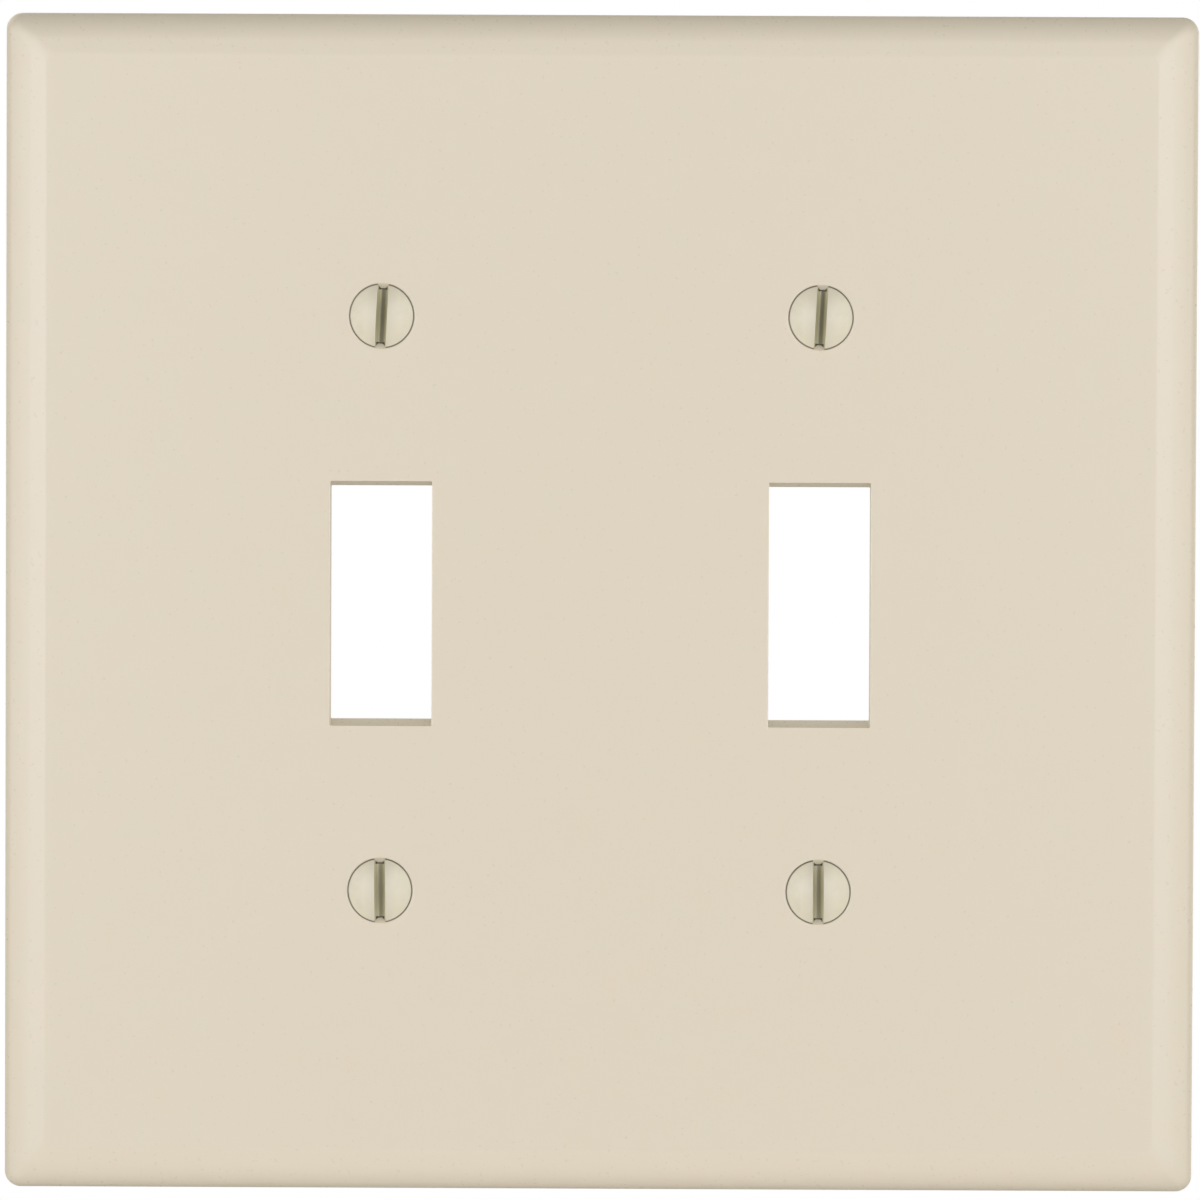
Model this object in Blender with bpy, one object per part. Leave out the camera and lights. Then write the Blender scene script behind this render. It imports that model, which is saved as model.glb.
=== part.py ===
# Two-gang toggle wall plate of the midway size, with the four screws that hold it.
# The wall surface is the plane Y = 0, the plate stands out from it towards -Y, and Z is up.
# The origin is the middle of the plate's outline on the wall surface.

import math

import bmesh
import bpy
from mathutils import Matrix, Vector

MM = 0.001
INCH = 0.0254

# Plate
PLATE_WIDTH = 4.937 * INCH
PLATE_HEIGHT = 4.875 * INCH
PLATE_DEPTH = 0.25 * INCH
FRONT_WALL = 2.4 * MM
RIM_WIDTH = 2.0 * MM
SIDE_DRAFT = 0.1 * MM
CORNER_RADIUS = 1.8 * MM
INNER_CORNER_RADIUS = 0.9 * MM
CORNER_STEPS = 4

# Rolled front edge: a quarter ellipse at the outside, then a straight facet up to the crease
ROLL_ACROSS = 3.8 * MM
ROLL_DOWN = 2.9 * MM
ROLL_STEPS = 10
CREASE_INSET = 4.4 * MM
FACET_SLOPE = math.radians(11)

# Gangs
GANG_SPACING = 1.8125 * INCH
SCREW_SPACING = 2.375 * INCH
OPENING_WIDTH = 10.7 * MM
OPENING_FRONT_HEIGHT = 25.7 * MM
OPENING_REAR_HEIGHT = 24.6 * MM
OPENING_CORNER_RADIUS = 0.5 * MM

# Rear of the plate
STRAP_GAP = 1.5 * MM
COLLAR_WALL = 1.8 * MM
COLLAR_END = -1.8 * MM
BOSS_DIAMETER = 10.0 * MM
RIB_WIDTH = 1.4 * MM
RIB_END = -2.4 * MM
CENTRE_RIB_END = -1.95 * MM
EMBED = 0.6 * MM

# Screw holes
COUNTERSINK_ANGLE = math.radians(82)
COUNTERSINK_DIAMETER = 6.95 * MM
HOLE_DIAMETER = 4.1 * MM
HOLE_SIDES = 40

# 6-32 oval-head slotted screws
HEAD_DIAMETER = 6.65 * MM
HEAD_LAND = 0.12 * MM
HEAD_RISE = 0.95 * MM
DOME_STEPS = 6
HEAD_SIDES = 40
SCREW_LENGTH = 0.5 * INCH
THREAD_DIAMETER = 0.138 * INCH
THREAD_PITCH = INCH / 32
THREAD_DEPTH = 0.44 * MM
THREAD_SIDES = 12
SHANK_DIAMETER = 3.3 * MM
NECK_LENGTH = 0.5 * MM
TIP_CHAMFER = 0.4 * MM
SLOT_WIDTH = 1.15 * MM
SLOT_FLOOR_WIDTH = 0.5 * MM
SLOT_DEPTH = 1.6 * MM
SLOT_LEAN = 0.2 * MM  # under the head's rim, where the slot's walls start to lean in

# How far cutters reach past the faces they cut, and how near a point lies to a plane it is on
CLEAR = 3 * MM
SAME_PLANE = 0.01 * MM

FACE_Y = -PLATE_DEPTH

# Which way each slot stands when the screws are tight, from upright and clockwise from the front
SLOT_TURNS = {
    "upper_left_screw": math.radians(2.7),
    "upper_right_screw": math.radians(3.0),
    "lower_left_screw": math.radians(-0.5),
    "lower_right_screw": math.radians(0.0),
}

ALMOND_PLASTIC = ((0.730, 0.655, 0.530), 0.42, 0.0)
ALMOND_PAINT = ((0.700, 0.660, 0.540), 0.36, 0.0)


def clear_scene():
    for obj in list(bpy.data.objects):
        bpy.data.objects.remove(obj)


def material(name, colour, roughness, metallic):
    made = bpy.data.materials.new(name)
    made.use_nodes = True
    shader = made.node_tree.nodes["Principled BSDF"]
    shader.inputs["Base Color"].default_value = (*colour, 1)
    shader.inputs["Roughness"].default_value = roughness
    shader.inputs["Metallic"].default_value = metallic
    return made


def add_object(name, bm):
    bmesh.ops.recalc_face_normals(bm, faces=bm.faces)
    mesh = bpy.data.meshes.new(name)
    bm.to_mesh(mesh)
    bm.free()
    obj = bpy.data.objects.new(name, mesh)
    bpy.context.scene.collection.objects.link(obj)
    return obj


def apply_boolean(obj, tool, operation):
    """Joins tool to obj or cuts it away, and removes tool."""
    boolean = obj.modifiers.new("Boolean", "BOOLEAN")
    boolean.operation = operation
    boolean.object = tool
    graph = bpy.context.evaluated_depsgraph_get()
    result = bpy.data.meshes.new_from_object(obj.evaluated_get(graph))
    obj.modifiers.remove(boolean)
    bpy.data.objects.remove(tool)
    obj.data = result


def rounded_outline(width, height, radius, steps):
    """Points around a rectangle in XZ, with an arc at each corner."""
    points = []
    for corner, (side_x, side_z) in enumerate(((1, 1), (-1, 1), (-1, -1), (1, -1))):
        centre_x = side_x * (width / 2 - radius)
        centre_z = side_z * (height / 2 - radius)
        for step in range(steps + 1):
            angle = math.pi / 2 * (corner + step / steps)
            points.append((centre_x + radius * math.cos(angle), centre_z + radius * math.sin(angle)))
    return points


def loft(bm, rings):
    """Skins a row of rings that have the same number of points, and closes both ends."""
    loops = [[bm.verts.new(point) for point in ring] for ring in rings]
    for first, second in zip(loops, loops[1:]):
        for i in range(len(first)):
            j = (i + 1) % len(first)
            bm.faces.new((first[i], first[j], second[j], second[i]))
    bm.faces.new(loops[0])
    bm.faces.new(loops[-1])


def turned(name, profile, sides):
    """A solid turned about the Y axis from (radius, y) points, in order along the axis."""
    bm = bmesh.new()
    angles = [2 * math.pi * i / sides for i in range(sides)]
    loft(bm, [[(r * math.cos(a), y, r * math.sin(a)) for a in angles] for r, y in profile])
    return add_object(name, bm)


def box(name, low, high):
    bm = bmesh.new()
    size = Vector(high) - Vector(low)
    middle = (Vector(high) + Vector(low)) / 2
    bmesh.ops.create_cube(bm, size=1, matrix=Matrix.Translation(middle) @ Matrix.Diagonal((*size, 1)))
    return add_object(name, bm)


def plate_section():
    """(inset, y) points from the front crease, over the rolled edge, to the floor of the rear tray."""
    last_turn = math.atan2(ROLL_DOWN, ROLL_ACROSS * math.tan(FACET_SLOPE))
    facet_inset = SIDE_DRAFT + ROLL_ACROSS * (1 - math.cos(last_turn))
    facet_y = FACE_Y + (CREASE_INSET - facet_inset) * math.tan(FACET_SLOPE)
    crest_y = facet_y - ROLL_DOWN * (1 - math.sin(last_turn))
    section = [(CREASE_INSET, FACE_Y)]
    for step in range(ROLL_STEPS + 1):
        turn = last_turn * (1 - step / ROLL_STEPS)
        inset = SIDE_DRAFT + ROLL_ACROSS * (1 - math.cos(turn))
        section.append((inset, crest_y + ROLL_DOWN * (1 - math.sin(turn))))
    floor_y = FACE_Y + FRONT_WALL
    section.append((0, 0))
    section.append((RIM_WIDTH, 0))
    section.append((RIM_WIDTH + SIDE_DRAFT, floor_y / 2))
    section.append((CREASE_INSET, floor_y))
    return section


def make_shell():
    """The plate without its holes, collars, bosses and ribs."""
    rings = []
    for inset, y in plate_section():
        radius = max(CORNER_RADIUS - inset, INNER_CORNER_RADIUS)
        width = PLATE_WIDTH - 2 * inset
        height = PLATE_HEIGHT - 2 * inset
        outline = rounded_outline(width, height, radius, CORNER_STEPS)
        rings.append([(x, y, z) for x, z in outline])
    bm = bmesh.new()
    loft(bm, rings)
    return add_object("plate", bm)


def opening_prism(name, x, grow, start_y, end_y):
    """A toggle opening's tapered shape, grown on all sides, from start_y to end_y."""
    taper = (OPENING_FRONT_HEIGHT - OPENING_REAR_HEIGHT) / (COLLAR_END - FACE_Y)
    rings = []
    for y in (start_y, end_y):
        height = OPENING_FRONT_HEIGHT - taper * (y - FACE_Y)
        outline = rounded_outline(
            OPENING_WIDTH + 2 * grow, height + 2 * grow, OPENING_CORNER_RADIUS + grow / 2, CORNER_STEPS
        )
        rings.append([(x + px, y, pz) for px, pz in outline])
    bm = bmesh.new()
    loft(bm, rings)
    return add_object(name, bm)


def screw_places():
    """The name and the (x, z) of each screw."""
    places = {}
    for row, z in (("upper", SCREW_SPACING / 2), ("lower", -SCREW_SPACING / 2)):
        for side, x in (("left", -GANG_SPACING / 2), ("right", GANG_SPACING / 2)):
            places[f"{row}_{side}_screw"] = (x, z)
    return places


def rib_boxes():
    """Low and high corners of the ribs that stiffen the front wall from behind."""
    start_y = FACE_Y + FRONT_WALL - EMBED
    half = RIB_WIDTH / 2
    reach_x = PLATE_WIDTH / 2 - RIM_WIDTH
    reach_z = PLATE_HEIGHT / 2 - RIM_WIDTH
    gang_x = GANG_SPACING / 2
    collar_x = OPENING_WIDTH / 2 + COLLAR_WALL / 2
    collar_z = OPENING_REAR_HEIGHT / 2 + COLLAR_WALL / 2
    boss_z = SCREW_SPACING / 2
    ribs = [((-half, start_y, -reach_z), (half, CENTRE_RIB_END, reach_z))]
    for x in (-gang_x, gang_x):
        outer = math.copysign(reach_x, x)
        inner = x - math.copysign(collar_x, x)
        beside = x + math.copysign(collar_x, x)
        across = sorted((beside, outer))
        ribs.append(((across[0], start_y, -half), (across[1], RIB_END, half)))
        across = sorted((0, inner))
        ribs.append(((across[0], start_y, -half), (across[1], RIB_END, half)))
        for side in (-1, 1):
            boss_near = side * (boss_z - BOSS_DIAMETER / 3)
            boss_far = side * (boss_z + BOSS_DIAMETER / 3)
            along = sorted((side * collar_z, boss_near))
            ribs.append(((x - half, start_y, along[0]), (x + half, RIB_END, along[1])))
            along = sorted((boss_far, side * reach_z))
            ribs.append(((x - half, start_y, along[0]), (x + half, RIB_END, along[1])))
    return ribs


def move_to(obj, x, z):
    obj.data.transform(Matrix.Translation((x, 0, z)))
    return obj


def make_boss(x, z):
    radius = BOSS_DIAMETER / 2
    start_y = FACE_Y + FRONT_WALL - EMBED
    return move_to(turned("boss", [(radius, start_y), (radius, -STRAP_GAP)], HOLE_SIDES), x, z)


def make_hole_cutter(x, z):
    slope = math.tan(COUNTERSINK_ANGLE / 2)
    mouth = COUNTERSINK_DIAMETER / 2
    radius = HOLE_DIAMETER / 2
    neck_y = FACE_Y + (mouth - radius) / slope
    profile = [(mouth + CLEAR * slope, FACE_Y - CLEAR), (radius, neck_y), (radius, CLEAR)]
    return move_to(turned("hole", profile, HOLE_SIDES), x, z)


def keep_face_flat(mesh):
    """Marks the front crease sharp, which is too shallow for the angle limit."""
    for edge in mesh.edges:
        ends = [mesh.vertices[v].co.y for v in edge.vertices]
        if max(ends) < FACE_Y + SAME_PLANE:
            edge.use_edge_sharp = True


def make_plate():
    plate = make_shell()
    collar_start = FACE_Y + FRONT_WALL - EMBED
    for x in (-GANG_SPACING / 2, GANG_SPACING / 2):
        apply_boolean(plate, opening_prism("collar", x, COLLAR_WALL, collar_start, COLLAR_END), "UNION")
    for x, z in screw_places().values():
        apply_boolean(plate, make_boss(x, z), "UNION")
    for low, high in rib_boxes():
        apply_boolean(plate, box("rib", low, high), "UNION")
    for x in (-GANG_SPACING / 2, GANG_SPACING / 2):
        cutter = opening_prism("opening", x, 0, FACE_Y - CLEAR, CLEAR)
        apply_boolean(plate, cutter, "DIFFERENCE")
    for x, z in screw_places().values():
        apply_boolean(plate, make_hole_cutter(x, z), "DIFFERENCE")
    plate.data.shade_smooth()
    plate.data.set_sharp_from_angle(angle=math.radians(30))
    keep_face_flat(plate.data)
    plate.data.materials.clear()
    plate.data.materials.append(material("almond_plastic", *ALMOND_PLASTIC))
    return plate


def make_thread(start_y, end_y):
    """A threaded rod about the Y axis, cut square at both ends. Its rows wind round as one helix."""
    crest = THREAD_DIAMETER / 2
    root = crest - THREAD_DEPTH
    profile = ((root, 0.0), (root, 0.2), (crest, 0.52), (crest, 0.66))
    turns = math.ceil((end_y - start_y) / THREAD_PITCH) + 3
    first_y = start_y - 1.5 * THREAD_PITCH
    bm = bmesh.new()
    rows = []
    for step in range(turns * THREAD_SIDES + 1):
        turn = step / THREAD_SIDES
        angle = 2 * math.pi * turn
        row = []
        for radius, along in profile:
            y = first_y + THREAD_PITCH * (turn + along)
            reach = min(radius, crest - TIP_CHAMFER + max(end_y - y, 0))
            row.append(bm.verts.new((reach * math.cos(angle), y, -reach * math.sin(angle))))
        rows.append(row)
    for step in range(len(rows) - 1):
        next_turn = step + THREAD_SIDES
        for i in range(len(profile)):
            if i + 1 < len(profile):
                near, far = rows[step][i + 1], rows[step + 1][i + 1]
            elif next_turn + 1 < len(rows):
                near, far = rows[next_turn][0], rows[next_turn + 1][0]
            else:
                continue
            bm.faces.new((rows[step][i], rows[step + 1][i], far, near))
    for y, direction in ((start_y, -1), (end_y, 1)):
        cut = bmesh.ops.bisect_plane(
            bm,
            geom=bm.verts[:] + bm.edges[:] + bm.faces[:],
            plane_co=(0, y, 0),
            plane_no=(0, direction, 0),
            clear_outer=True,
        )
        edges = [item for item in cut["geom_cut"] if isinstance(item, bmesh.types.BMEdge)]
        bmesh.ops.contextual_create(bm, geom=edges)
    return add_object("thread", bm)


def make_slot_cutter():
    """A bar along Z with upright sides that lean in towards the slot's floor."""
    floor_y = SLOT_DEPTH - HEAD_RISE
    rings = []
    for y, width in ((-HEAD_RISE - CLEAR, SLOT_WIDTH), (SLOT_LEAN, SLOT_WIDTH), (floor_y, SLOT_FLOOR_WIDTH)):
        corners = ((1, 1), (-1, 1), (-1, -1), (1, -1))
        rings.append([(side * width / 2, y, end * HEAD_DIAMETER) for side, end in corners])
    bm = bmesh.new()
    loft(bm, rings)
    return add_object("slot", bm)


def make_screw_mesh():
    """An oval-head screw with its axis on Y, its head's rim in the plane Y = 0 and its slot upright."""
    rim = HEAD_DIAMETER / 2
    shank = SHANK_DIAMETER / 2
    cone_end = HEAD_LAND + (rim - shank) / math.tan(COUNTERSINK_ANGLE / 2)
    dome_radius = (rim**2 + HEAD_RISE**2) / (2 * HEAD_RISE)
    dome_angle = math.asin(rim / dome_radius)
    profile = []
    for step in range(1, DOME_STEPS + 1):
        angle = dome_angle * step / DOME_STEPS
        profile.append((dome_radius * math.sin(angle), dome_radius * (1 - math.cos(angle)) - HEAD_RISE))
    profile += [(rim, HEAD_LAND), (shank, cone_end), (shank, cone_end + NECK_LENGTH)]
    screw = turned("screw", profile, HEAD_SIDES)
    apply_boolean(screw, make_thread(cone_end, SCREW_LENGTH), "UNION")
    apply_boolean(screw, make_slot_cutter(), "DIFFERENCE")
    mesh = screw.data
    bpy.data.objects.remove(screw)
    mesh.shade_smooth()
    mesh.set_sharp_from_angle(angle=math.radians(25))
    mesh.materials.clear()
    mesh.materials.append(material("almond_paint", *ALMOND_PAINT))
    return mesh


def make_screws():
    mesh = make_screw_mesh()
    for name, (x, z) in screw_places().items():
        screw = bpy.data.objects.new(name, mesh)
        screw.location = (x, FACE_Y, z)
        screw.rotation_euler = (0, SLOT_TURNS[name], 0)
        bpy.context.scene.collection.objects.link(screw)


clear_scene()
make_plate()
make_screws()
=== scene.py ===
import math

import bmesh
import bpy
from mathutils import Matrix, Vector


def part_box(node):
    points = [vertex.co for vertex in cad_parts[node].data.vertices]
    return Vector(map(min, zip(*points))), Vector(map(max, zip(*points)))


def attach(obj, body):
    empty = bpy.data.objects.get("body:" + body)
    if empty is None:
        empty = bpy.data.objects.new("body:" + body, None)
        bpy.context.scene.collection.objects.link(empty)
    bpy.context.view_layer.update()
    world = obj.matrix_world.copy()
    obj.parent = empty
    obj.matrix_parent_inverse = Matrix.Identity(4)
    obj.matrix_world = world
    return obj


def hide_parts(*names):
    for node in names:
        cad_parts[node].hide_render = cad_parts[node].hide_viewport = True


# Two-gang toggle wall plate with its four oval-head screws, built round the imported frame.
# The wall is the plane Y = 0, the plate's face looks along -Y, and Z is up. Lengths are in metres.

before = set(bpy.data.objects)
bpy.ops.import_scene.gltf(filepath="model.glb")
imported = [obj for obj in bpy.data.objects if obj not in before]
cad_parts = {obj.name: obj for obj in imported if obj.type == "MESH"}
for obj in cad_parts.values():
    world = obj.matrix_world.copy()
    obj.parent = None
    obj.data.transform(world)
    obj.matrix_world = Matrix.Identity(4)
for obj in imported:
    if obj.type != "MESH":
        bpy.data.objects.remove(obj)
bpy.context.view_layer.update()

mm = 0.001
inch = 0.0254
outward = -1  # towards the room, along -Y
wallward = 1


cameraView = {
    "place": (0.0034, -0.9, 0.0327),
    "pitchDown": 2.066,  # degrees
    "roll": -0.240,
    "turn": 0.228,
    "lens": 255.7,  # mm on a 36 mm sensor
}

studio = {
    "backdrop": 1.0,  # how bright the white paper looks
    "paperGlow": 0.63,  # light it gives from behind the plate
    "paperTint": (1.04, 0.98, 0.86, 1),
    "paperEdge": (-0.1, 0.25),  # where its light fades in, by how far a direction leans towards the wall
    "floorHeight": -0.2,
    "floorReach": 0.85,
    "floorColours": ((0.81, 0.80, 0.78, 1), (0.84, 0.83, 0.81, 1)),
    "floorRoughness": 0.6,
    "boxes": {
        # azimuth from straight in front, elevation, distance, width, height, glow, tint
        "leftKey": (-22, 2.5, 1.2, 0.50, 0.42, 3.8, (0.96, 0.97, 1.16)),
        "rightKey": (22, 2.5, 1.2, 0.50, 0.42, 3.4, (0.96, 0.97, 1.16)),
        "leftSide": (-50, 2.5, 1.2, 0.55, 0.42, 2.2, (1, 1, 1)),
        "rightSide": (50, 2.5, 1.2, 0.55, 0.42, 2.0, (1, 1, 1)),
        "leftFlank": (-82, 0, 1.2, 0.83, 0.42, 1.85, (1, 1, 1)),
        "rightFlank": (82, 0, 1.2, 0.83, 0.42, 1.75, (1, 1, 1)),
        "leftUpper": (-35, 22, 1.2, 1.28, 0.42, 1.6, (1, 1, 1)),
        "rightUpper": (35, 22, 1.2, 1.28, 0.42, 2.1, (1, 1, 1)),
        "rearLeft": (-150, 25, 1.3, 0.9, 0.7, 0.5, (1, 1, 1)),
        "rearRight": (150, 5, 1.3, 0.6, 0.7, 0.4, (1, 1, 1)),
    },
}


def addCamera(view):
    data = bpy.data.cameras.new("camera")
    data.lens = view["lens"]
    data.sensor_width = 36
    data.clip_start = 0.05
    data.clip_end = 20
    camera = bpy.data.objects.new("camera", data)
    camera.location = view["place"]
    angles = (90 - view["pitchDown"], view["roll"], view["turn"])
    camera.rotation_euler = tuple(math.radians(angle) for angle in angles)
    bpy.context.scene.collection.objects.link(camera)
    bpy.context.scene.camera = camera


def addSoftbox(name, azimuth, elevation, distance, width, height, glow, colour):
    a, e = math.radians(azimuth), math.radians(elevation)
    direction = Vector((math.sin(a) * math.cos(e), -math.cos(a) * math.cos(e), math.sin(e)))
    data = bpy.data.lights.new(name, "AREA")
    data.shape = "RECTANGLE"
    data.size = width
    data.size_y = height
    data.energy = glow * math.pi * width * height
    data.color = colour
    box = bpy.data.objects.new(name, data)
    box.location = direction * distance
    box.rotation_euler = direction.to_track_quat("Z", "Y").to_euler()
    box.visible_camera = False
    bpy.context.scene.collection.objects.link(box)


class Wire:  # an output socket that can take part in sums
    def __init__(self, tree, socket=None):
        self.tree = tree
        self.socket = socket

    def node(self, kind, settings=None, inputs=None, output=0):
        made = self.tree.nodes.new(kind)
        for name, value in (settings or {}).items():
            setattr(made, name, value)
        for name, value in (inputs or {}).items():
            if isinstance(value, Wire):
                self.tree.links.new(value.socket, made.inputs[name])
            else:
                made.inputs[name].default_value = value
        return Wire(self.tree, made.outputs[output] if made.outputs else None)

    def math(self, operation, first, second=0.0):
        return self.node("ShaderNodeMath", {"operation": operation}, {0: first, 1: second})

    def __add__(self, other):
        return self.math("ADD", self, other)

    def __radd__(self, other):
        return self.math("ADD", other, self)

    def __sub__(self, other):
        return self.math("SUBTRACT", self, other)

    def __rsub__(self, other):
        return self.math("SUBTRACT", other, self)

    def __mul__(self, other):
        return self.math("MULTIPLY", self, other)

    def __rmul__(self, other):
        return self.math("MULTIPLY", other, self)

    def __pow__(self, other):
        return self.math("POWER", self, other)

    def rising(self, low, high):  # 0 up to low, 1 from high
        values = {"Value": self, "From Min": low, "From Max": high}
        return self.node("ShaderNodeMapRange", {"clamp": True}, values)


def mixColour(wire, factor, first, second):
    return wire.node("ShaderNodeMix", {"data_type": "RGBA"}, {0: factor, 6: first, 7: second}, output=2)


def noise(wire, place, scale, detail):
    return wire.node("ShaderNodeTexNoise", {}, {"Vector": place, "Scale": scale, "Detail": detail})


def newMaterial(name):
    material = bpy.data.materials.new(name)
    material.use_nodes = True
    return material, Wire(material.node_tree), material.node_tree.nodes["Principled BSDF"]


def feed(wire, socket):
    wire.tree.links.new(wire.socket, socket)


almondPlastic = {
    "colour": (0.742, 0.665, 0.505),
    "warm": (0.750, 0.664, 0.502),
    "cool": (0.735, 0.666, 0.509),
    "mottle": 320,  # blotches per metre
    "mottleSpan": (0.3, 0.7),
    "sweep": 24,  # and broad drifts of colour per metre
    "sweepSpan": (0.35, 0.65),
    "sweepShare": 0.5,
    "speck": (0.42, 0.36, 0.26),
    "speckDensity": 260,  # cells per metre, each with at most one speck
    "speckShare": 0.035,
    "speckRadius": 0.10,  # in cells
    "speckStrength": 0.15,
    "roughness": 0.28,
    "roughnessSpread": 0.03,
    "orangePeel": 420,
    "grain": 2200,
    "grainShare": 0.1,  # of the orange peel's height
    "grainHeight": 0.0012 * mm,
}

almondPaint = {
    "colour": (0.738, 0.681, 0.500),
    # the thinned paint's colour, which also serves as the painted shade beside the slot
    "thinCoatAndShade": (0.60, 0.55, 0.42),
    "patches": (0.4, 0.75),
    "thinning": 0.3,  # how much of the thin coat shows in its patches
    "shadeBesideSlot": 0.55,  # strength of the painted shade along the slot, darkening the dome beside it
    "shadeBesideReach": (0.6 * mm, 1.9 * mm),
    "slotDip": (0.05 * mm, 0.3 * mm),  # how far under the dome the slot's colours and painted shade come in
    # the slot's colours: dark olive where the paint on the metal is thinned, deepened with painted shade
    "slotWall": (0.60, 0.565, 0.37),
    "slotFloor": (0.21, 0.19, 0.10),
    "coreShift": 0.09 * mm,  # of the slot's darkest line, a painted shadow line, from its middle
    "coreReach": (0.25, 0.65),  # and its fading edge, in widths of the slot's floor
    # painted shade: the dark colour of the narrow gap round the head, laid on the head's edge
    "rim": (0.17, 0.14, 0.095),
    "end": (0.05, 0.045, 0.03),  # the shade where the slot runs out
    "endReach": (0.2 * mm, 0.12 * mm),
    "endDepth": (0.3 * mm, 0.45 * mm),
    "rimShade": 0.17 * mm,  # how far in from the rim the head's edge carries the painted shade
    "overspray": 0.25 * mm,  # how far past the rim the paint reaches
    "oversprayFade": 0.15 * mm,
    "oversprayWander": 0.3 * mm,
    "cloud": 900,
    "roughness": 0.34,
    "roughnessSpread": 0.14,
    "grain": 1500,
    "grainHeight": 0.006 * mm,
}

zincSteel = {
    "light": (0.62, 0.62, 0.60),
    "dark": (0.42, 0.42, 0.41),
    "metallic": 0.9,
    "grain": 2500,
}


def makePlasticMaterial():
    look = almondPlastic
    material, tree, shader = newMaterial("almondPlastic")
    place = tree.node("ShaderNodeTexCoord", output=3)
    cloud = noise(tree, place, look["mottle"], 2.0)
    sweep = noise(tree, place, look["sweep"], 2.0)
    colour = mixColour(tree, cloud.rising(*look["mottleSpan"]), (*look["warm"], 1), (*look["cool"], 1))
    drift = sweep.rising(*look["sweepSpan"]) * look["sweepShare"]
    colour = mixColour(tree, drift, colour, (*look["colour"], 1))
    cell = {"Vector": place, "Scale": look["speckDensity"], "Randomness": 1.0}
    distance = tree.node("ShaderNodeTexVoronoi", {"feature": "F1"}, cell)
    chance = tree.node("ShaderNodeTexVoronoi", {"feature": "F1"}, cell, output=1)
    chosen = tree.node("ShaderNodeSeparateColor", {}, {0: chance}).rising(1 - look["speckShare"], 1)
    speck = (1 - distance.rising(0.0, look["speckRadius"])) * chosen
    colour = mixColour(tree, speck * look["speckStrength"], colour, (*look["speck"], 1))
    feed(colour, shader.inputs["Base Color"])
    grain = noise(tree, place, look["grain"], 1.0)
    feed(look["roughness"] + (grain - 0.5) * look["roughnessSpread"], shader.inputs["Roughness"])
    height = grain * look["grainShare"] + noise(tree, place, look["orangePeel"], 1.0)
    bump = {"Height": height, "Strength": 1.0, "Distance": look["grainHeight"]}
    feed(tree.node("ShaderNodeBump", {}, bump), shader.inputs["Normal"])
    return material


def makeScrewMaterial():
    look = almondPaint
    material, tree, shader = newMaterial("almondPaint")
    own = tree.node("ShaderNodeAttribute", {"attribute_name": "screwSpace"}, output=1)
    x, y, z = (tree.node("ShaderNodeSeparateXYZ", {}, {0: own}, output=i) for i in range(3))
    slotLight = tree.node("ShaderNodeAttribute", {"attribute_name": "slotLight"}, output=2)
    cloud = noise(tree, own, look["cloud"], 3.0)

    domeRadius = screw["domeRadius"]
    dome = domeRadius - screw["headRise"] - (domeRadius**2 - x * x - z * z) ** 0.5  # y of its surface
    inSlot = (y - dome).rising(*look["slotDip"])
    across = tree.math("ABSOLUTE", x)
    fromCore = tree.math("ABSOLUTE", x - look["coreShift"])
    # a painted shadow line along the slot's floor, a little off its middle
    core = 1 - fromCore.rising(*(screw["slotFloor"] * reach for reach in look["coreReach"]))
    radius = (x * x + z * z) ** 0.5
    edge = screw["head"] / 2
    slotFloorY = screw["slotDepth"] - screw["headRise"]
    floorEnd = edge - (slotFloorY - screw["land"]) * math.tan(gang["countersinkAngle"] / 2)
    end = radius.rising(*(floorEnd - reach for reach in look["endReach"])) * y.rising(*look["endDepth"])
    # the head's edge, painted dark as the shade in the gap round it
    rim = radius.rising(edge - look["rimShade"], edge - look["rimShade"] * 0.5)

    thinCoatAndShade = cloud.rising(*look["patches"]) * look["thinning"]
    # painted shade in a band along both sides of the slot
    shadeBeside = (1 - across.rising(*look["shadeBesideReach"])) * look["shadeBesideSlot"]
    thinCoatAndShade = tree.math("MAXIMUM", thinCoatAndShade, shadeBeside)
    paint = mixColour(tree, thinCoatAndShade, (*look["colour"], 1), (*look["thinCoatAndShade"], 1))
    # the slot's walls and floor, with the painted shadow line in the floor
    wall = mixColour(tree, slotLight, (*look["slotWall"], 1), (*look["colour"], 1))
    floor = mixColour(tree, slotLight, (*look["slotFloor"], 1), (*look["slotWall"], 1))
    paint = mixColour(tree, inSlot, paint, mixColour(tree, core, wall, floor))
    paint = mixColour(tree, rim, paint, (*look["rim"], 1))
    paint = mixColour(tree, end, paint, (*look["end"], 1))

    sprayEnd = screw["land"] + look["overspray"]
    wander = (cloud - 0.5) * look["oversprayWander"]
    beyond = (y + wander).rising(sprayEnd, sprayEnd + look["oversprayFade"])
    inside = 1 - across.rising(screw["slot"] * 0.51, screw["slot"] * 0.52)
    inside = inside * (1 - y.rising(slotFloorY + 0.01 * mm, slotFloorY + 0.02 * mm))
    bare = beyond * (1 - inside)
    steel = noise(tree, own, zincSteel["grain"], 2.0)
    metal = mixColour(tree, steel, (*zincSteel["light"], 1), (*zincSteel["dark"], 1))
    feed(mixColour(tree, bare, paint, metal), shader.inputs["Base Color"])
    feed(bare * zincSteel["metallic"], shader.inputs["Metallic"])
    grain = noise(tree, own, look["grain"], 2.0)
    feed(look["roughness"] + (cloud - 0.5) * look["roughnessSpread"], shader.inputs["Roughness"])
    bump = {"Height": grain, "Strength": 1.0, "Distance": look["grainHeight"]}
    feed(tree.node("ShaderNodeBump", {}, bump), shader.inputs["Normal"])
    return material


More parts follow.
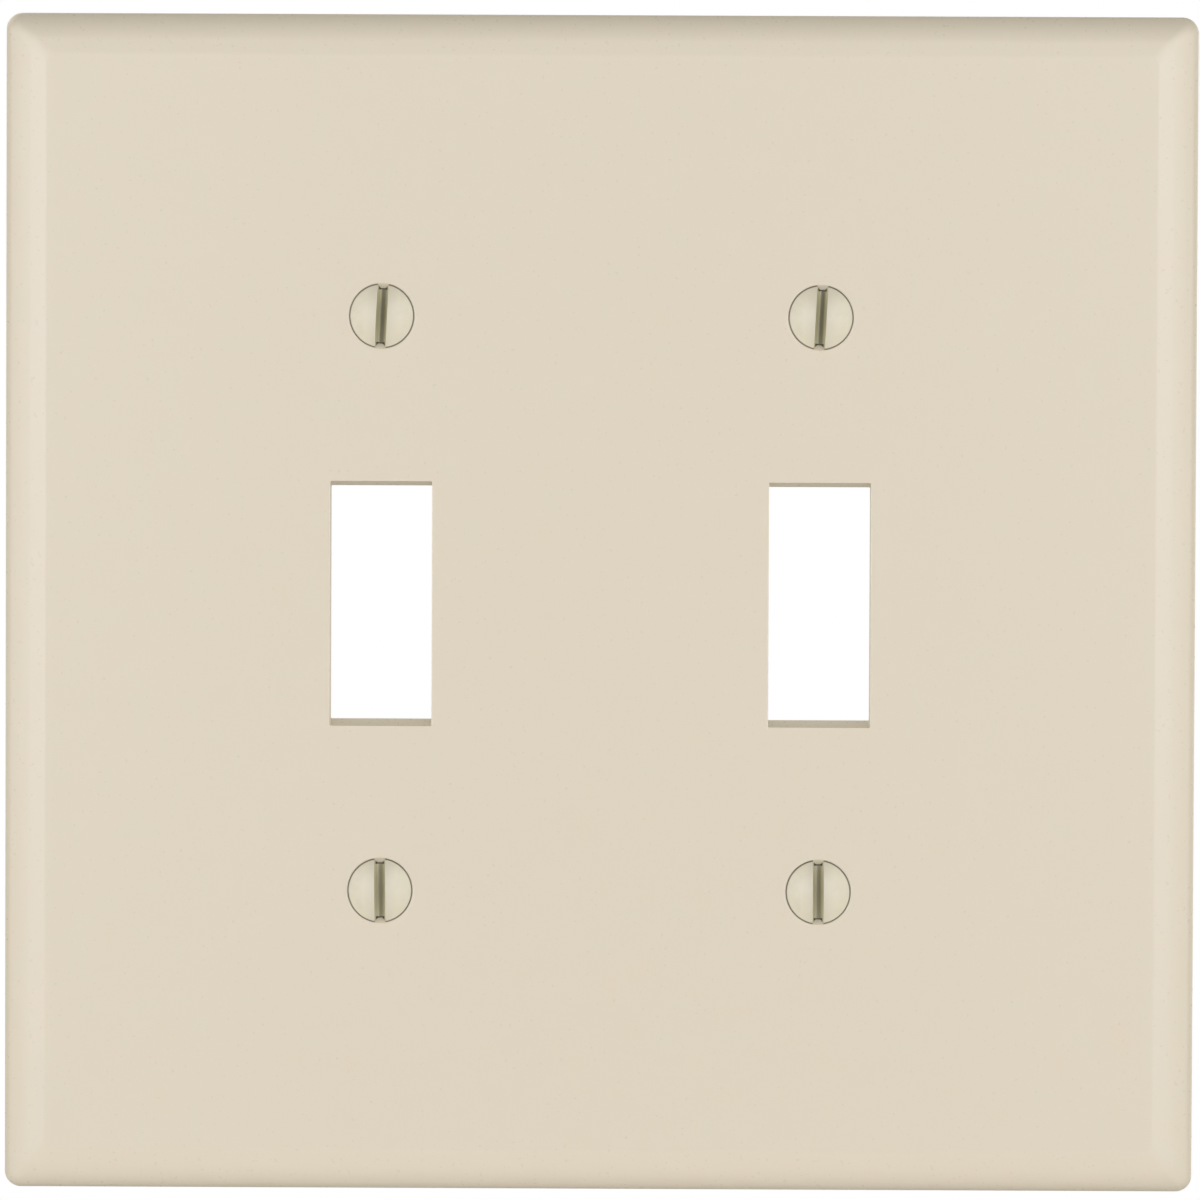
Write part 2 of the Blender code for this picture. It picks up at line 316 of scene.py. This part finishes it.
def makeStudio():
    reach, height = studio["floorReach"], studio["floorHeight"]
    bpy.ops.mesh.primitive_plane_add(size=2 * reach, location=(0, 0, height))
    floor = bpy.context.object
    floor.name = "studioFloor"
    bpy.ops.object.transform_apply(location=True, rotation=True, scale=True)
    material, tree, shader = newMaterial("paleFloor")
    place = tree.node("ShaderNodeTexCoord", output=3)
    cloud = noise(tree, place, 6.0, 3.0)
    feed(mixColour(tree, cloud, *studio["floorColours"]), shader.inputs["Base Color"])
    shader.inputs["Roughness"].default_value = studio["floorRoughness"]
    floor.data.materials.append(material)
    for name, values in studio["boxes"].items():
        addSoftbox(name, *values)


def makeWorld():
    world = bpy.data.worlds.new("studioPaper")
    bpy.context.scene.world = world
    world.use_nodes = True
    tree = Wire(world.node_tree)
    direction = tree.node("ShaderNodeTexCoord", output=0)
    towards = tree.node("ShaderNodeSeparateXYZ", {}, {0: direction}, output=1)
    behind = towards.rising(*studio["paperEdge"])
    glow = behind * studio["paperGlow"]
    lit = tree.node("ShaderNodeBackground", {}, {"Color": studio["paperTint"], "Strength": glow})
    seen = tree.node("ShaderNodeBackground", {}, {"Color": (1, 1, 1, 1), "Strength": studio["backdrop"]})
    fromCamera = tree.node("ShaderNodeLightPath", output=0)
    mixed = tree.node("ShaderNodeMixShader", {}, {0: fromCamera, 1: lit, 2: seen})
    feed(mixed, world.node_tree.nodes["World Output"].inputs["Surface"])


def makeActive(obj):
    bpy.ops.object.select_all(action="DESELECT")
    bpy.context.view_layer.objects.active = obj
    obj.select_set(True)


def startEdit(obj):
    makeActive(obj)
    bpy.ops.object.mode_set(mode="EDIT")
    bpy.ops.mesh.select_mode(type="VERT")


def endEdit():
    bpy.ops.mesh.select_all(action="SELECT")
    bpy.ops.mesh.normals_make_consistent(inside=False)
    bpy.ops.object.mode_set(mode="OBJECT")


def pick(kind, test):  # selects the vertices, edges or faces that pass the test, and nothing else
    bpy.ops.mesh.select_all(action="DESELECT")
    bpy.ops.mesh.select_mode(type=kind)
    mesh = bpy.context.edit_object.data
    bm = bmesh.from_edit_mesh(mesh)
    bm.normal_update()
    items = {"VERT": bm.verts, "EDGE": bm.edges, "FACE": bm.faces}[kind]
    items.index_update()
    for item in items:
        if test(item):
            item.select_set(True)
    bm.select_flush_mode()
    bmesh.update_edit_mesh(mesh)


def cutAcross(y, away):  # takes off all that lies past y, and closes the cut
    bpy.ops.mesh.select_all(action="SELECT")
    bpy.ops.mesh.bisect(
        plane_co=(0, y, 0), plane_no=(0, away, 0), clear_outer=True, use_fill=True, threshold=1e-8
    )


def closeTo(a, b):
    return abs(a - b) < 0.002 * mm


def pickCap(y, facing):  # the end face across a moulding at y
    def isCap(face):
        return face.normal.y * facing > 0.99 and all(closeTo(v.co.y, y) for v in face.verts)

    bm = bmesh.from_edit_mesh(bpy.context.edit_object.data)
    bm.normal_update()
    bm.faces.index_update()
    widest = max(filter(isCap, bm.faces), key=lambda face: len(face.verts)).index
    pick("FACE", lambda face: face.index == widest)


def arc(start, end, corner, steps):  # a quarter turn, tangent at its ends to the lines to corner
    points = []
    for step in range(steps + 1):
        turn = step / steps * math.pi / 2
        fromStart, fromEnd = 1 - math.sin(turn), 1 - math.cos(turn)
        points.append(tuple(
            corner[i] + (start[i] - corner[i]) * fromStart + (end[i] - corner[i]) * fromEnd
            for i in range(2)
        ))
    return points


def curve(start, corner, end, steps):  # the same with a corner that need not be square
    points = []
    for step in range(steps + 1):
        t = step / steps
        points.append(tuple(
            (1 - t) ** 2 * start[i] + 2 * t * (1 - t) * corner[i] + t * t * end[i] for i in range(2)
        ))
    return points


def runThrough(points):  # lets the last facet of a curve run on through the face it would end on
    (a0, b0), (a1, b1) = points[-2:]
    return points[:-1] + [(2 * a1 - a0, 2 * b1 - b0)]


# A ring is (y, width, height, corner radius), centred on the axis.
def startMoulding(name, ring, segments):
    y, width, height, radius = ring
    bpy.ops.object.select_all(action="DESELECT")
    bpy.ops.mesh.primitive_plane_add(size=1, location=(0, y, 0), rotation=(math.pi / 2, 0, 0))
    obj = bpy.context.object
    obj.name = name
    obj.scale = (width, height, 1)
    bpy.ops.object.transform_apply(location=True, rotation=True, scale=True)
    startEdit(obj)
    bpy.ops.mesh.select_all(action="SELECT")
    bpy.ops.mesh.bevel(offset=radius, segments=segments, affect="VERTICES")
    return obj


def extrudeRings(rings, facing):  # carries the cap at the first ring on through the others
    for old, new in zip(rings, rings[1:]):
        pickCap(old[0], facing)
        step = (0, new[0] - old[0], 0)
        bpy.ops.mesh.extrude_region_move(TRANSFORM_OT_translate={"value": step})
        moveCorners(old, new)


def moveCorners(old, new):
    bm = bmesh.from_edit_mesh(bpy.context.edit_object.data)
    bm.verts.index_update()
    cap = {v.index for v in bm.verts if v.select}
    oldX, oldZ = old[1] / 2 - old[3], old[2] / 2 - old[3]
    newX, newZ = new[1] / 2 - new[3], new[2] / 2 - new[3]
    scale = new[3] / old[3]
    for sideX in (-1, 1):
        for sideZ in (-1, 1):
            pick("VERT", lambda v: v.index in cap and v.co.x * sideX > 0 and v.co.z * sideZ > 0)
            centre = (sideX * oldX, new[0], sideZ * oldZ)
            bpy.ops.transform.resize(value=(scale, 1, scale), center_override=centre)
            bpy.ops.transform.translate(value=(sideX * (newX - oldX), 0, sideZ * (newZ - oldZ)))


def turned(name, rings, segments):  # a round moulding from (y, radius) rings, in order along the axis
    facing = 1 if rings[-1][0] > rings[0][0] else -1
    bpy.ops.object.select_all(action="DESELECT")
    bpy.ops.mesh.primitive_circle_add(
        vertices=segments,
        radius=rings[0][1],
        fill_type="NGON",
        location=(0, rings[0][0], 0),
        rotation=(-facing * math.pi / 2, 0, 0),
    )
    obj = bpy.context.object
    obj.name = name
    bpy.ops.object.transform_apply(location=True, rotation=True, scale=True)
    startEdit(obj)
    bpy.ops.mesh.select_all(action="SELECT")
    extrudeRound(rings)
    endEdit()
    return obj


def extrudeRound(rings):  # carries the selected cap from the first (y, radius) on through the others
    for old, new in zip(rings, rings[1:]):
        bpy.ops.mesh.extrude_region_move(TRANSFORM_OT_translate={"value": (0, new[0] - old[0], 0)})
        scale = new[1] / old[1]
        bpy.ops.transform.resize(value=(scale, 1, scale), center_override=(0, new[0], 0))


def combine(obj, tool, operation):  # a Boolean that joins tool to obj or cuts it away, applied
    boolean = obj.modifiers.new("combine", "BOOLEAN")
    boolean.operation = operation
    boolean.solver = "EXACT"
    boolean.object = tool
    makeActive(obj)
    bpy.ops.object.modifier_apply(modifier=boolean.name)
    bpy.data.objects.remove(tool)


def moveMesh(obj, x, y, z, turn=0.0):  # moves and turns the piece, and leaves its place in its mesh
    makeActive(obj)
    obj.location = (x, y, z)
    obj.rotation_euler = (0, turn, 0)
    bpy.ops.object.transform_apply(location=True, rotation=True, scale=True)
    return obj


def copied(obj, name):
    twin = obj.copy()
    twin.data = obj.data.copy()
    twin.name = name
    bpy.context.scene.collection.objects.link(twin)
    return twin


def smoothOver(obj, degrees):  # rounded shading up to that angle, and flat faces that stay flat
    makeActive(obj)
    bpy.ops.object.shade_smooth_by_angle(angle=math.radians(degrees))
    weighted = obj.modifiers.new("weighted", "WEIGHTED_NORMAL")
    weighted.keep_sharp = True
    bpy.ops.object.modifier_apply(modifier=weighted.name)


plateLow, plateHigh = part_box("plate")
faceY = plateLow.y

plate = {
    "width": plateHigh.x - plateLow.x,
    "height": plateHigh.z - plateLow.z,
    "frontWall": 2.4 * mm,
    "rim": 2.0 * mm,
    "draft": 0.1 * mm,
    "corner": 1.8 * mm,
    "innerCorner": 0.9 * mm,
    "cornerSegments": 10,
    "edgeRound": 0.2 * mm,  # the rear rim's edges
    "rollAcross": 3.8 * mm,
    "rollDown": 2.9 * mm,
    "rollSteps": 18,
    "crease": 4.4 * mm,
    "creaseRound": 0.2 * mm,  # how far the crease's curve reaches each way
    "facetSlope": math.radians(11),
    "trayFillet": 0.5 * mm,
    "arcSteps": 4,
}

gang = {
    "x": 1.8125 * inch / 2,
    "screwZ": 2.375 * inch / 2,
    "openingWidth": 10.7 * mm,
    "openingFront": 25.7 * mm,
    "openingRear": 24.6 * mm,
    "openingCorner": 0.12 * mm,
    "lipReach": 0.22 * mm,  # how far the soft lips of openings and countersinks reach over the face
    "lipDrop": 0.04 * mm,  # and how far down the walls
    "countersinkAngle": math.radians(82),
    "countersink": 6.95 * mm,
    "hole": 4.1 * mm,
    "lipSteps": 6,
    "holeSegments": 96,
    "overcut": 3 * mm,  # how far the cutters reach past the wall
}

trayY = faceY + plate["frontWall"]  # the tray's floor, behind the front wall

rear = {
    "collarWall": 1.8 * mm,
    "collarEnd": -1.8 * mm,
    "bossEnd": -1.5 * mm,
    "bossRadius": 5.0 * mm,
    "bossSegments": 64,
    "ribEnd": -2.4 * mm,
    "centreRibEnd": -1.95 * mm,
    "ribHalf": 0.55 * mm,  # at its crest
    "draft": 0.12 * mm,
    "round": 0.2 * mm,
    "collarFillet": 0.47 * mm,
    "bossFillet": 0.53 * mm,
    "ribFillet": 0.37 * mm,
    "centreRibFillet": 0.42 * mm,
    "collarCorner": 1.2 * mm,
    "ribCorner": 0.3 * mm,
    "leastCorner": 0.05 * mm,
    "embed": 0.6 * mm,  # into the front wall
    "sideEmbed": 0.3 * mm,  # and into the rim
    "ejectorRadius": 2.5 * mm,
    "ejectorDepth": 0.15 * mm,
    "ejectorRound": 0.1 * mm,
    "ejectorSegments": 48,
    "ejectorPlaces": ((0.41, 0.41), (0.085, 0.33)),  # shares of the width and height, mirrored both ways
}


def plateRing(inset, y):
    radius = max(plate["corner"] - inset, plate["innerCorner"])
    return y, plate["width"] - 2 * inset, plate["height"] - 2 * inset, radius


def frontSection():  # (inset, y) from the rim's flat, up the outer wall and over the roll to the face
    r = plate["edgeRound"]
    across, down, slope = plate["rollAcross"], plate["rollDown"], math.tan(plate["facetSlope"])
    lastTurn = math.atan2(down, across * slope)
    facetInset = plate["draft"] + across * (1 - math.cos(lastTurn))
    facetY = faceY + (plate["crease"] - facetInset) * slope
    crestY = facetY - down * (1 - math.sin(lastTurn))
    section = arc((r, 0), (0, -r), (0, 0), plate["arcSteps"])
    for step in range(plate["rollSteps"] + 1):
        turn = lastTurn * step / plate["rollSteps"]
        inset = plate["draft"] + across * (1 - math.cos(turn))
        section.append((inset, crestY + down * (1 - math.sin(turn))))
    reach = plate["creaseRound"]
    before = (plate["crease"] - reach * math.cos(plate["facetSlope"]), faceY + reach * slope)
    crease, after = (plate["crease"], faceY), (plate["crease"] + reach, faceY)
    return section + curve(before, crease, after, plate["arcSteps"])


def traySection():  # (inset, y) from the rim's flat, round its inner edge and down to the tray's floor
    r, f = plate["edgeRound"], plate["trayFillet"]
    knee = (plate["rim"] + plate["draft"], trayY / 2)
    foot = (plate["crease"], trayY)
    section = [(r, 0)]
    section += arc((plate["rim"] - r, 0), (plate["rim"], -r), (plate["rim"], 0), plate["arcSteps"])
    slant = Vector((foot[0] - knee[0], foot[1] - knee[1])).normalized()
    for corner, before, after in (
        (knee, (knee[0], knee[1] + f), (knee[0] + slant.x * f, knee[1] + slant.y * f)),
        (foot, (foot[0] - slant.x * f, foot[1] - slant.y * f), (foot[0] + f, foot[1])),
    ):
        section += curve(before, corner, after, plate["arcSteps"])
    return section


def makeShell():
    rings = [plateRing(inset, y) for inset, y in frontSection()]
    shell = startMoulding("wallPlate", rings[0], plate["cornerSegments"])
    extrudeRings(rings, outward)
    extrudeRings([plateRing(inset, y) for inset, y in traySection()], wallward)
    endEdit()
    return shell


def footedRings(end, startWidth, startHeight, corner, f):  # (y, width, height, radius) from crest to root
    r, draft, steps = rear["round"], rear["draft"], plate["arcSteps"]
    outline = arc((-r, end), (0, end - r), (0, end), steps)
    outline += runThrough(arc((draft, trayY + f), (draft + f, trayY), (draft, trayY), steps))
    outline.append((outline[-1][0], trayY - rear["embed"] - f / 5))
    rings = []
    for grow, y in outline:
        radius = max(corner + grow, rear["leastCorner"])
        rings.append((y, startWidth + 2 * grow, startHeight + 2 * grow, radius))
    return rings


def makeFooted(name, x, z, width, height, corner, end, fillet):  # flares into the tray's floor
    rings = footedRings(end, width, height, corner, fillet)
    obj = startMoulding(name, rings[0], plate["arcSteps"])
    extrudeRings(rings, outward)
    endEdit()
    return moveMesh(obj, x, 0, z)


def makeBoss(x, z):
    radius = rear["bossRadius"]
    footed = footedRings(rear["bossEnd"], 2 * radius, 2 * radius, radius, rear["bossFillet"])
    rings = [(y, width / 2) for y, width, _, _ in footed]
    return moveMesh(turned("boss", rings, rear["bossSegments"]), x, 0, z)


def ribs():  # (x, z, width, height, end, fillet) of each rib behind the front wall
    thick = 2 * rear["ribHalf"]
    reachX = plate["width"] / 2 - plate["rim"] + rear["sideEmbed"]
    reachZ = plate["height"] / 2 - plate["rim"] + rear["sideEmbed"]
    low, fillet = rear["ribEnd"], rear["ribFillet"]
    collarX = gang["openingWidth"] / 2 + rear["collarWall"] / 2
    collarZ = gang["openingRear"] / 2 + rear["collarWall"] / 2
    nearX = gang["x"] + collarX
    intoBoss = rear["bossRadius"] * 0.7
    spans = ((collarZ, gang["screwZ"] - intoBoss), (gang["screwZ"] + intoBoss, reachZ))
    found = [(0, 0, thick, 2 * reachZ, rear["centreRibEnd"], rear["centreRibFillet"])]
    found.append((0, 0, 2 * (gang["x"] - collarX), thick, low, fillet))
    for side in (-1, 1):
        found.append((side * (nearX + reachX) / 2, 0, reachX - nearX, thick, low, fillet))
        for up in (-1, 1):
            for near, far in spans:
                found.append((side * gang["x"], up * (near + far) / 2, thick, far - near, low, fillet))
    return found


def makeOpeningCutter(x):
    taper = (gang["openingFront"] - gang["openingRear"]) / (rear["collarEnd"] - faceY)
    reach, clear = gang["lipReach"], gang["overcut"]

    def ring(y, grow):
        height = gang["openingFront"] - taper * (y - faceY)
        return y, gang["openingWidth"] + 2 * grow, height + 2 * grow, gang["openingCorner"] + grow

    lip = runThrough(curve((faceY + gang["lipDrop"], 0), (faceY, 0), (faceY, reach), gang["lipSteps"]))
    rings = [ring(clear, 0)]
    rings += [ring(y, grow) for y, grow in lip]
    rings.append(ring(faceY - clear, reach + 0.5 * mm))
    obj = startMoulding("openingCutter", rings[0], gang["lipSteps"])
    extrudeRings(rings, outward)
    endEdit()
    return moveMesh(obj, x, 0, 0)


def makeHoleCutter(x, z):
    half = gang["countersinkAngle"] / 2
    mouth, radius = gang["countersink"] / 2, gang["hole"] / 2
    reach, drop = gang["lipReach"], gang["lipDrop"]
    neckY = faceY + (mouth - radius) / math.tan(half)
    low = (mouth - drop * math.tan(half), faceY + drop)
    high = (mouth + reach, faceY)
    rings = [(gang["overcut"], radius), (neckY, radius)]
    rings += [(y, r) for r, y in runThrough(curve(low, (mouth, faceY), high, gang["lipSteps"]))]
    rings.append((faceY - gang["overcut"], mouth + reach + 0.6 * mm))
    return moveMesh(turned("holeCutter", rings, gang["holeSegments"]), x, 0, z)


def makeEjectorCutter(x, z):
    depth, radius, r = rear["ejectorDepth"], rear["ejectorRadius"], rear["ejectorRound"]
    rings = [(trayY - depth, radius - r), (trayY - depth + r, radius), (trayY + mm, radius)]
    return moveMesh(turned("ejectorCutter", rings, rear["ejectorSegments"]), x, 0, z)


def makeWallPlate(material):
    shell = makeShell()
    print("plate shell made")
    width = gang["openingWidth"] + 2 * rear["collarWall"]
    height = gang["openingRear"] + 2 * rear["collarWall"]
    corner, end, fillet = rear["collarCorner"], rear["collarEnd"], rear["collarFillet"]
    for side in (-1, 1):
        collar = makeFooted("collar", side * gang["x"], 0, width, height, corner, end, fillet)
        combine(shell, collar, "UNION")
        for up in (-1, 1):
            combine(shell, makeBoss(side * gang["x"], up * gang["screwZ"]), "UNION")
    for x, z, width, height, end, fillet in ribs():
        rib = makeFooted("rib", x, z, width, height, rear["ribCorner"], end, fillet)
        combine(shell, rib, "UNION")
    print("collars, bosses and ribs joined")
    for sideX in (-1, 1):
        for sideZ in (-1, 1):
            for x, z in rear["ejectorPlaces"]:
                cutter = makeEjectorCutter(sideX * x * plate["width"], sideZ * z * plate["height"])
                combine(shell, cutter, "DIFFERENCE")
    for side in (-1, 1):
        combine(shell, makeOpeningCutter(side * gang["x"]), "DIFFERENCE")
        for up in (-1, 1):
            combine(shell, makeHoleCutter(side * gang["x"], up * gang["screwZ"]), "DIFFERENCE")
    print("openings and screw holes cut")
    smoothOver(shell, 35)
    shell.data.materials.clear()
    shell.data.materials.append(material)
    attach(shell, "plate")
    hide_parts("plate")


screw = {
    "head": 6.8 * mm,
    "land": 0.12 * mm,
    "headRise": 0.95 * mm,
    "rimRound": 0.05 * mm,
    "headSegments": 96,
    "length": 0.5 * inch,  # from the head's rim to the tip
    "thread": 0.138 * inch,
    "pitch": inch / 32,
    "threadDepth": 0.44 * mm,
    "threadSteps": 40,
    "shank": 3.3 * mm,
    "neck": 0.5 * mm,
    "tip": 0.4 * mm,
    "soften": 0.02 * mm,  # of the thread's edges and of its last turn
    "slot": 1.15 * mm,
    "slotFloor": 0.5 * mm,
    "slotDepth": 1.6 * mm,
    "slotLean": 0.2 * mm,  # under the head's rim, where the slot's walls start to lean in
    "slotRound": 0.09 * mm,  # between those walls and the floor
}
screw["domeRadius"] = ((screw["head"] / 2) ** 2 + screw["headRise"] ** 2) / (2 * screw["headRise"])

slotLights = {  # how far each slot's dark colours and painted shade are lifted towards lighter ones, from 0 to 1
    "upper_left_screw": 0.0,
    "upper_right_screw": 0.0,
    "lower_left_screw": 0.25,
    "lower_right_screw": 0.22,
}

slotTurns = {  # degrees from upright, clockwise from the front
    "upper_left_screw": 2.7,
    "upper_right_screw": 3.0,
    "lower_left_screw": -0.5,
    "lower_right_screw": 0.0,
}


def makeHead():
    rim, shank, dome = screw["head"] / 2, screw["shank"] / 2, screw["domeRadius"]
    bpy.ops.object.select_all(action="DESELECT")
    bpy.ops.mesh.primitive_uv_sphere_add(
        segments=screw["headSegments"],
        ring_count=screw["headSegments"],
        radius=dome,
        location=(0, dome - screw["headRise"], 0),
        rotation=(math.pi / 2, 0, 0),
    )
    head = bpy.context.object
    head.name = "screwHead"
    bpy.ops.object.transform_apply(location=True, rotation=True, scale=True)
    startEdit(head)
    bpy.ops.mesh.select_all(action="SELECT")
    start = rim - screw["rimRound"]
    startY = dome - screw["headRise"] - math.sqrt(dome**2 - start**2)
    cutAcross(startY, wallward)
    pickCap(startY, wallward)
    coneLength = (rim - shank) / math.tan(gang["countersinkAngle"] / 2)
    rings = curve((startY, start), (0, rim), (screw["rimRound"], rim), 4)
    rings.append((screw["land"], rim))
    rings.append((screw["land"] + coneLength, shank))
    rings.append((screw["land"] + coneLength + screw["neck"], shank))
    extrudeRound(rings)
    endEdit()
    return head


def makeThreadedShank():
    crest = screw["thread"] / 2
    root = crest - screw["threadDepth"]
    start = screw["land"] + (screw["head"] - screw["shank"]) / 2 / math.tan(gang["countersinkAngle"] / 2)
    pitch, soften = screw["pitch"], screw["soften"]
    turns = math.ceil((screw["length"] - start) / pitch) + 3
    firstY = start - 1.5 * pitch
    shape = (  # (radius, share of the pitch) over one turn
        (root, 0.0),
        (root, 0.18),
        (root + soften, 0.22),
        (crest - soften, 0.50),
        (crest, 0.53),
        (crest, 0.65),
        (crest - soften, 0.68),
        (root + soften, 0.97),
        (root, 1.0),
    )
    bpy.ops.object.select_all(action="DESELECT")
    bpy.ops.mesh.primitive_plane_add(size=mm, location=(0, 0, 0))
    rod = bpy.context.object
    rod.name = "threadedShank"
    startEdit(rod)
    bpy.ops.mesh.select_all(action="SELECT")
    bpy.ops.mesh.merge(type="CENTER")
    bpy.ops.transform.translate(value=(root, firstY, 0))
    for old, new in zip(shape, shape[1:]):
        step = (new[0] - old[0], (new[1] - old[1]) * pitch, 0)
        bpy.ops.mesh.extrude_region_move(TRANSFORM_OT_translate={"value": step})
    bpy.ops.object.mode_set(mode="OBJECT")
    wind = rod.modifiers.new("wind", "SCREW")
    wind.axis = "Y"
    wind.screw_offset = pitch
    wind.iterations = turns
    wind.steps = screw["threadSteps"]
    wind.render_steps = screw["threadSteps"]
    bpy.ops.object.modifier_apply(modifier=wind.name)
    startEdit(rod)
    bpy.ops.mesh.select_all(action="SELECT")
    bpy.ops.mesh.remove_doubles(threshold=1e-6)  # each turn meets the next
    cutAcross(start + 0.1 * mm, outward)
    tipY = screw["length"] - soften
    cutAcross(tipY, wallward)
    endEdit()
    clear = 0.3 * mm
    blank = turned("blank", [
        (-mm, crest + clear),
        (tipY - screw["tip"] - clear - soften, crest + clear),
        (screw["length"], crest - screw["tip"] - soften),
    ], 64)
    combine(rod, blank, "INTERSECT")
    return rod


def makeSlotCutter():
    floorY, leanY = screw["slotDepth"] - screw["headRise"], screw["slotLean"]
    topY = -screw["headRise"] - mm
    bpy.ops.object.select_all(action="DESELECT")
    bpy.ops.mesh.primitive_cube_add(size=1, location=(0, (leanY + topY) / 2, 0))
    cutter = bpy.context.object
    cutter.scale = (screw["slot"], leanY - topY, 2 * screw["head"])
    bpy.ops.object.transform_apply(location=True, rotation=True, scale=True)
    startEdit(cutter)
    pick("FACE", lambda face: face.normal.y > 0.9)
    bpy.ops.mesh.extrude_region_move(TRANSFORM_OT_translate={"value": (0, floorY - leanY, 0)})
    narrow = screw["slotFloor"] / screw["slot"]
    bpy.ops.transform.resize(value=(narrow, 1, 1), center_override=(0, floorY, 0))

    def isLong(edge):
        return abs(edge.verts[0].co.z - edge.verts[1].co.z) > mm

    pick("EDGE", lambda edge: isLong(edge) and all(closeTo(v.co.y, floorY) for v in edge.verts))
    bpy.ops.mesh.bevel(offset=screw["slotRound"], segments=4, affect="EDGES")
    endEdit()
    return cutter


def makeScrew(material):
    body = makeHead()
    combine(body, makeThreadedShank(), "UNION")
    combine(body, makeSlotCutter(), "DIFFERENCE")
    body.name = "screwPattern"
    smoothOver(body, 32)
    body.data.materials.clear()
    body.data.materials.append(material)
    own = body.data.attributes.new("screwSpace", "FLOAT_VECTOR", "POINT")
    for vertex, value in zip(body.data.vertices, own.data):
        value.vector = vertex.co
    return body


def makeScrews(material):
    pattern = makeScrew(material)
    names = {
        "upper_left_screw": "upperLeftScrew",
        "upper_right_screw": "upperRightScrew",
        "lower_left_screw": "lowerLeftScrew",
        "lower_right_screw": "lowerRightScrew",
    }
    for node, name in names.items():
        low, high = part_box(node)
        piece = copied(pattern, name)
        lights = piece.data.attributes.new("slotLight", "FLOAT", "POINT")
        for value in lights.data:
            value.value = slotLights[node]
        turn = math.radians(slotTurns[node])
        moveMesh(piece, (low.x + high.x) / 2, faceY, (low.z + high.z) / 2, turn)
        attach(piece, node)
        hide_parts(node)
    bpy.data.objects.remove(pattern)


bpy.context.scene.view_settings.view_transform = "Standard"
addCamera(cameraView)
makeWorld()
makeStudio()
print("camera and studio placed")
makeWallPlate(makePlasticMaterial())
print("wall plate finished")
makeScrews(makeScrewMaterial())
print("four screws placed")
